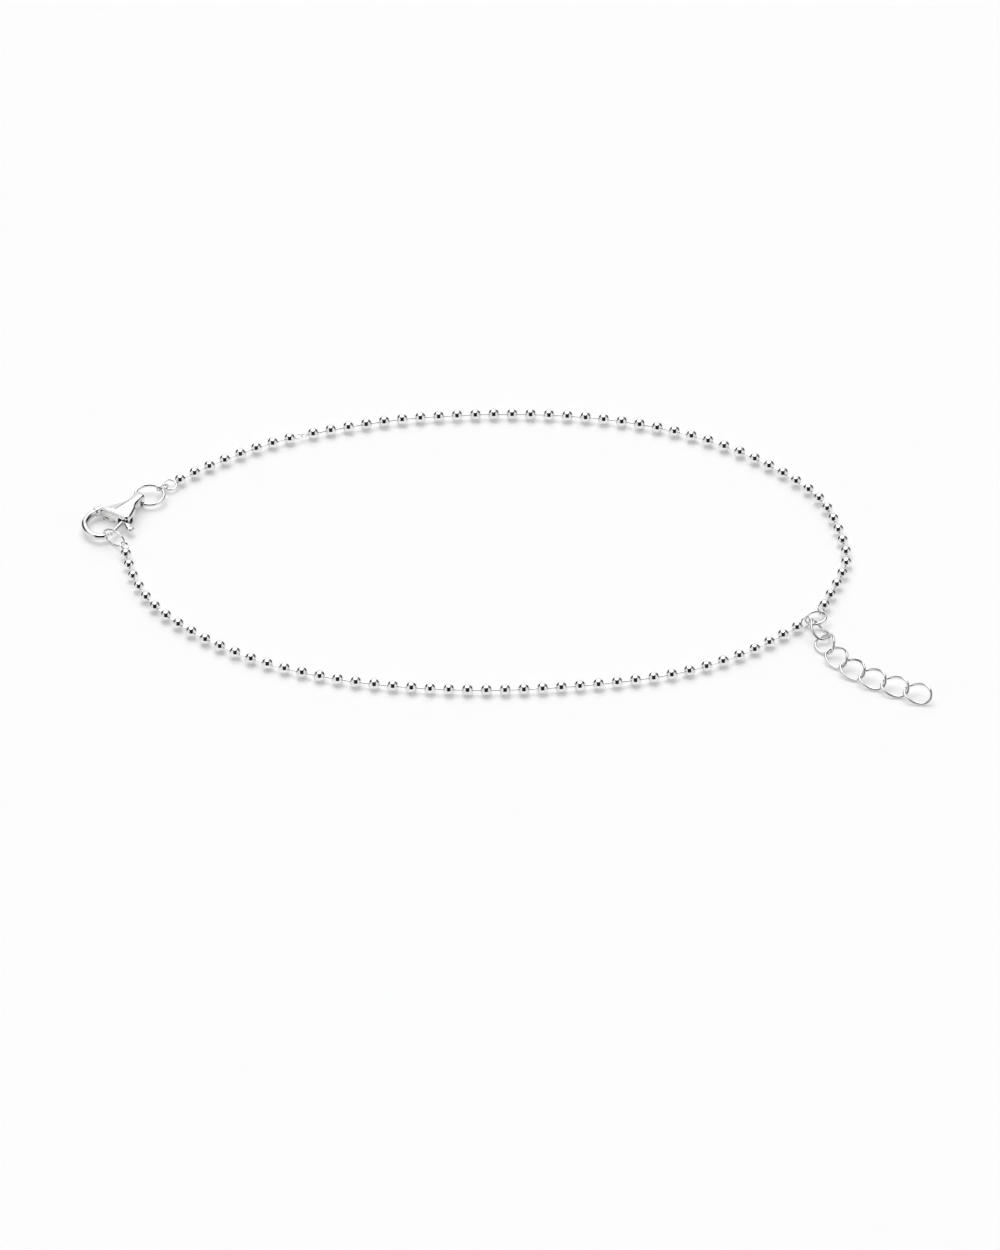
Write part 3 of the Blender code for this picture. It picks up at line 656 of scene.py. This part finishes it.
def clasp_lever():
    """The lever: a hub round the pin, the gate from it to the hook's tip, and an arm out to the thumb nub."""
    middle, half = CLASP_THICKNESS / 2, LEVER_THICKNESS / 2
    pivot = np.array(PIVOT_AT)
    tip = np.array(HOOK_LINE[-1]) * (HOOK_REACH, HOOK_HALF_WIDTH) + (BODY_LENGTH, 0)
    gate_end = tip - (GATE_TIP_GAP, 0)
    share = np.linspace(0, 1, 40)

    bore = PIVOT_RADIUS + LEVER_GAP
    wall = (bore + LEVER_HUB_RADIUS) / 2 + HUB_OVERLAP
    route = smooth_line([pivot + wall * unit(gate_end - pivot), pivot + 0.3 * (gate_end - pivot),
                         gate_end - (0.4, 0.0), gate_end], 20)
    gate = np.column_stack([at_distances(route, share * run_of(route)[-1]), np.full(len(share), middle)])
    end_ease = np.sqrt(np.clip(1 - np.clip((share - 0.94) / 0.06, 0, 1)**2, 0.04, 1))
    gate_bar = flat_bar(gate, LEVER_GATE_WIDTH / 2 * end_ease, half * (0.75 + 0.25 * end_ease))

    nub_at = pivot + LEVER_HUB_RADIUS * np.array(NUB_AT)
    arm_route = smooth_line([pivot + wall * unit((1.0, 1.0)),
                             pivot + (0.9 * LEVER_HUB_RADIUS, 0.9 * LEVER_HUB_RADIUS), nub_at], 30)
    arm = np.column_stack([at_distances(arm_route, share * run_of(arm_route)[-1]),
                           np.full(len(share), middle)])
    arm_bar = flat_bar(arm, NUB_RADIUS * (0.75 + 0.3 * share - 0.05 * np.sin(pi * share)),
                       np.full(len(share), 0.96 * half))

    a = np.linspace(0, pi, 20)
    nub_line = np.array([*nub_at, middle]) + np.column_stack([0 * a, 0 * a, -half * np.cos(a)])
    nub = dict(grid=sweep(nub_line, np.repeat([[0.0, 0.0, 1.0]], len(a), axis=0), (1.0, 0.0, 0.0),
                          np.maximum(NUB_RADIUS * np.sin(a)**0.6, 0.01), 32), closed=False)
    hub = washer(pivot, bore, LEVER_HUB_RADIUS, middle - half, middle + half, LEVER_EDGE)
    return mesh_of("lever_cast", [placed(shell) for shell in (gate_bar, arm_bar, nub, hub)])


add_piece("clasp_casting", clasp_body(), CAST_SILVER, "bracelet", "clasp_body", crease=45)
add_piece("lever_casting", clasp_lever(), CAST_SILVER, "lever", "clasp_lever", crease=45)


# Floor, studio and camera

def floor():
    """A frosted white board, far larger than the frame."""
    half = 2.5
    mesh = bpy.data.meshes.new("floor")
    mesh.from_pydata([(-half, -half, 0), (half, -half, 0), (half, half, 0), (-half, half, 0)], [],
                     [(0, 1, 2, 3)])
    material = bpy.data.materials.new("pale_board")
    finish = Finish(material)
    place = finish.node("ShaderNodeTexCoord")
    fibre = finish.number("ShaderNodeTexNoise", None, {
        "Vector": place.outputs["Object"], "Scale": 300.0, "Detail": 2.0})
    tone = finish.node("ShaderNodeMix", {"data_type": "RGBA"}, {0: fibre})
    tone.inputs[6].default_value = colour(0.955, 0.955, 0.96)
    tone.inputs[7].default_value = colour(0.975, 0.975, 0.98)
    shader = finish.node("ShaderNodeBsdfPrincipled", None, {
        "Base Color": tone.outputs[2], "Roughness": 0.75, "Emission Color": tone.outputs[2],
        "Emission Strength": FLOOR_GLOW})
    finish.node("ShaderNodeOutputMaterial", None, {"Surface": shader.outputs[0]})
    mesh.materials.append(material)
    board = bpy.data.objects.new("floor", mesh)
    bpy.context.scene.collection.objects.link(board)


# Studio: directions are turned from the viewer's side round to the back, and raised from the floor
LAMP_BRIGHTNESS = 2.4
LAMP_AT = (-0.10, 0.38, 0.92)   # a broad soft light overhead, a little behind
LAMP_HALF_ANGLE = 28.0
FRONT_WALL = 0.85
SIDE_WALL = 0.30
BACKDROP = 0.92
FLOOR_GLOW = 0.20               # light from under the frosted board
SIDE_WALL_FROM = 98.0
BACKDROP_FROM = 152.0
OPENING_HALF_WIDTH = 0.55       # dark opening that the camera looks through, as a share of the unit sphere
OPENING_TOP = 73.0
GAP_FROM, GAP_TO = 103.0, 152.0  # low dark gap on either side of the backdrop
GAP_TOP = 30.0
SOFT_EDGE = 5.0


def studio():
    """A pale tent under a broad overhead light: bright walls beside the viewer, greyer ones further round,
    a bright backdrop, a dark opening for the camera and a low dark gap on either side of the backdrop. Each
    is a band of directions with soft edges."""
    world = bpy.data.worlds.new("tent")
    bpy.context.scene.world = world
    finish = Finish(world)
    way = finish.node("ShaderNodeTexCoord").outputs["Generated"]
    split = finish.node("ShaderNodeSeparateXYZ", None, {0: way})
    x, y, z = (Number(finish, split.outputs[k]) for k in range(3))
    side = finish.number("ShaderNodeMath", {"operation": "ABSOLUTE"}, {0: x})
    turn = finish.number("ShaderNodeMath", {"operation": "ARCTAN2"}, {0: side, 1: 0.0 - y})
    height = finish.number("ShaderNodeMath", {"operation": "ARCSINE"}, {0: z})

    def past(value, limit, edge=SOFT_EDGE):
        return finish.ramp(value, radians(limit - edge / 2), radians(limit + edge / 2))

    opening = (finish.ramp(side, OPENING_HALF_WIDTH - 0.04, OPENING_HALF_WIDTH + 0.04, 1.0, 0.0)
               * (1 - past(turn, 90.0)) * (1 - past(height, OPENING_TOP)))
    gaps = past(turn, GAP_FROM) * (1 - past(turn, GAP_TO)) * (1 - past(height, GAP_TOP, 8.0))
    walls = (FRONT_WALL - (FRONT_WALL - SIDE_WALL) * past(turn, SIDE_WALL_FROM, 30.0)
             + (BACKDROP - SIDE_WALL) * past(turn, BACKDROP_FROM, 16.0))
    toward = finish.node("ShaderNodeVectorMath", {"operation": "DOT_PRODUCT"}, {
        0: way, 1: tuple(unit(LAMP_AT))})
    lamp = finish.ramp(Number(finish, toward.outputs["Value"]), cos(radians(LAMP_HALF_ANGLE + 6)),
                       cos(radians(LAMP_HALF_ANGLE - 6)))
    tent = walls * (1 - 0.98 * opening) * (1 - 0.98 * gaps)
    light = finish.node("ShaderNodeBackground", None, {
        "Color": colour(1.0, 1.0, 1.0), "Strength": tent * (1 - lamp) + LAMP_BRIGHTNESS * lamp})
    finish.node("ShaderNodeOutputWorld", None, {"Surface": light.outputs[0]})


def camera():
    """Looks along +Y from the photograph's height, far off through a long lens."""
    e = radians(CAMERA_ELEVATION)
    back = np.array([0.0, -cos(e), sin(e)])
    centre = SHIFT + (0, 0, BEAD_RADIUS)
    lens = SENSOR * CAMERA_DISTANCE * PIXELS_PER_MM / FRAME_LONG_SIDE
    down = np.arctan(LOOK_DOWN_PIXELS / (CAMERA_DISTANCE * PIXELS_PER_MM))
    data = bpy.data.cameras.new("camera")
    data.lens, data.sensor_width, data.sensor_fit = lens, SENSOR, "AUTO"
    data.clip_start, data.clip_end = 0.05, 20.0
    eye = bpy.data.objects.new("camera", data)
    bpy.context.scene.collection.objects.link(eye)
    eye.location = (centre + CAMERA_DISTANCE * back) * MM
    eye.rotation_euler = (pi / 2 - e - down, 0, 0)
    bpy.context.scene.camera = eye


floor()
studio()
camera()
bpy.context.scene.view_settings.view_transform = "Standard"
